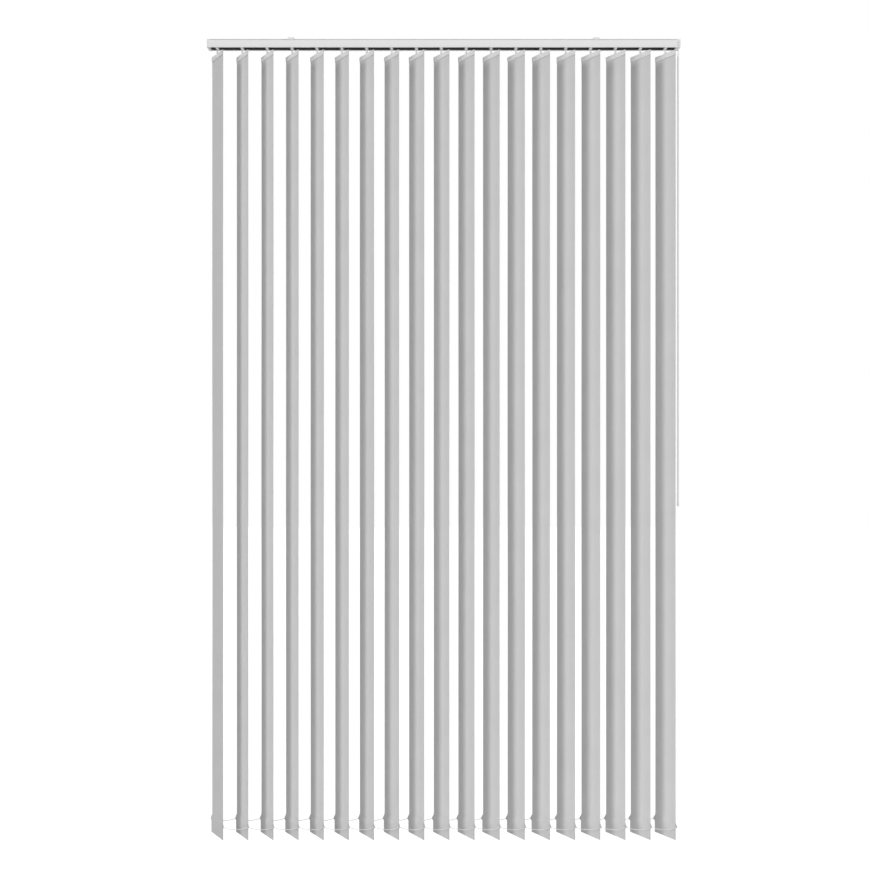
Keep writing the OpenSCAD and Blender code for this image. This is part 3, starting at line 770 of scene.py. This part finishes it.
def make_weight(number):
    """Bottom weight in the pocket with its two thinner chain clips and their upright tips.

    Plate and clips are outlines carried through the slat by their thickness; the tips are turned.
    """
    slat = f"slat_{number:02d}"
    low, tip_z = SLAT_BOT + POCKET_R, SLAT_BOT + CLIP_Z
    high = low + WEIGHT_H
    plate = np.array([[-1, low], [1, low], [1, high], [-1, high]]) * (WEIGHT_W / 2, 1)
    tip_ends = [tip_z - TIP_L / 2, tip_z + TIP_L / 2]
    shells = [prism(plate, WEIGHT_N - WEIGHT_T / 2, WEIGHT_N + WEIGHT_T / 2, (0, 2, 1))]
    for side in (-1, 1):
        outline = clip_outline() * (side, 1)
        shells.append(prism(outline, WEIGHT_N - TIP_R, WEIGHT_N + TIP_R, (0, 2, 1)))
        shells.append(turned([TIP_R, TIP_R], tip_ends, TIP_SIDES, side * TIP_U, WEIGHT_N))
    points, faces = join(*shells)
    points = set_at_slat(points, slat)
    weight = make_piece(f"weight_{number:02d}", points, faces, CLIP_MOULD, bevel=WEIGHT_BEVEL)
    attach(weight, slat)


for slat_number in range(1, SLAT_COUNT + 1):
    cloth, cloth_length = make_cloth(slat_number)
    hook = make_hook(slat_number)
    make_weight(slat_number)


# Finishes of the carried-over nodes

NODE_FINISH = {
    "head_rail": RAIL_COAT,
    "end_cap": END_MOULD,
    "control_housing": END_MOULD,
    "control_cover": END_MOULD,
    "bracket_left": BRACKET_COAT,
    "bracket_right": BRACKET_COAT,
    "tilt_rod": ROD_METAL,
    "rod_gear": HOLLOW_SHADE_MOULD,
    "wand_stem": HOOK_MOULD,
    "wand_hook": WAND_WHITE,
    "wand_rod": WAND_WHITE,
    "wand_grip": WAND_WHITE,
}
for node_name, node_object in frame["nodes"].items():
    # the carriers take the moulding with painted shade
    finish = HOLLOW_SHADE_MOULD if node_name.startswith("carrier_") else NODE_FINISH.get(node_name)
    if finish:
        node_object.data.materials.clear()
        node_object.data.materials.append(finish)


# Floor and light

def make_room_light():
    """Light of the room by direction: even, but falling off to dark on the left."""
    tree, source, result = group("room_light", {"Vector": "Vector"}, ["Strength"])
    way = add(tree, "ShaderNodeVectorMath", {0: source.outputs["Vector"]}, operation="NORMALIZE")
    slope = add(tree, "ShaderNodeVectorMath", {0: way.outputs[0], 1: SKY_SLOPE},
                operation="DOT_PRODUCT").outputs["Value"]
    level = maths(tree, "MAXIMUM", maths(tree, "ADD", slope, SKY_LEVEL), 0.0)
    tree.links.new(maths(tree, "MINIMUM", level, SKY_CAP), result.inputs["Strength"])
    return tree


ROOM_LIGHT = make_room_light()


def room_light(tree, way):
    """Strength of the room's light along a direction."""
    node = add(tree, "ShaderNodeGroup", {"Vector": way}, node_tree=ROOM_LIGHT)
    return node.outputs["Strength"]


def seen_direct(tree):
    """Mask of what the camera, reflections and clear pieces see, and not the object's light."""
    ray = add(tree, "ShaderNodeLightPath").outputs
    clear = maths(tree, "MAXIMUM", ray["Is Glossy Ray"], ray["Is Transmission Ray"])
    return maths(tree, "MAXIMUM", ray["Is Camera Ray"], clear)


def make_floor():
    """Pale floor under the blind that shows white to the camera and still takes a shadow.

    To the object it gives a share of the room's light from the floor's own direction.
    """
    square = np.array([[-1, -1], [1, -1], [1, 1], [-1, 1]]) * FLOOR_HALF
    points = np.column_stack([square, np.full(len(square), FLOOR_Z)])
    material, tree, shader = new_material("pale_floor", Base_Color=grey(FLOOR_TONE),
                                          Roughness=FLOOR_ROUGH, Emission_Color=grey(1.0))
    place = add(tree, "ShaderNodeTexCoord").outputs["Object"]
    light = room_light(tree, multiply_ways(tree, place, FLOOR_FLAT))
    lit = maths(tree, "MULTIPLY", light, FLOOR_SHARE)
    glow = add(tree, "ShaderNodeMix", {"Factor": seen_direct(tree), "A": lit, "B": FLOOR_GLOW})
    tree.links.new(glow.outputs[0], shader.inputs["Emission Strength"])
    make_piece("floor", points, [[0, 1, 2, 3]], material)


def make_sky():
    """Pale surroundings: white to the camera and the room's light to the object."""
    world = bpy.data.worlds.new("studio")
    world.use_nodes = True
    tree = world.node_tree
    way = add(tree, "ShaderNodeTexCoord").outputs["Generated"]
    light = room_light(tree, multiply_ways(tree, way, SKY_FLAT))
    strength = add(tree, "ShaderNodeMix", {"Factor": seen_direct(tree), "A": light, "B": 1.0})
    background = tree.nodes["Background"]
    background.inputs["Color"].default_value = grey(1.0)
    tree.links.new(strength.outputs[0], background.inputs["Strength"])
    bpy.context.scene.world = world


def make_key():
    """Broad soft light from the front left, a little from above."""
    data = bpy.data.lights.new("key", "SUN")
    data.energy = KEY_STRENGTH
    data.angle = KEY_ANGLE
    key = bpy.data.objects.new("key", data)
    key.rotation_euler = (math.pi / 2 - KEY_UP, 0, -KEY_LEFT)
    bpy.context.scene.collection.objects.link(key)


make_floor()
make_sky()
make_key()
bpy.context.scene.view_settings.view_transform = "Standard"
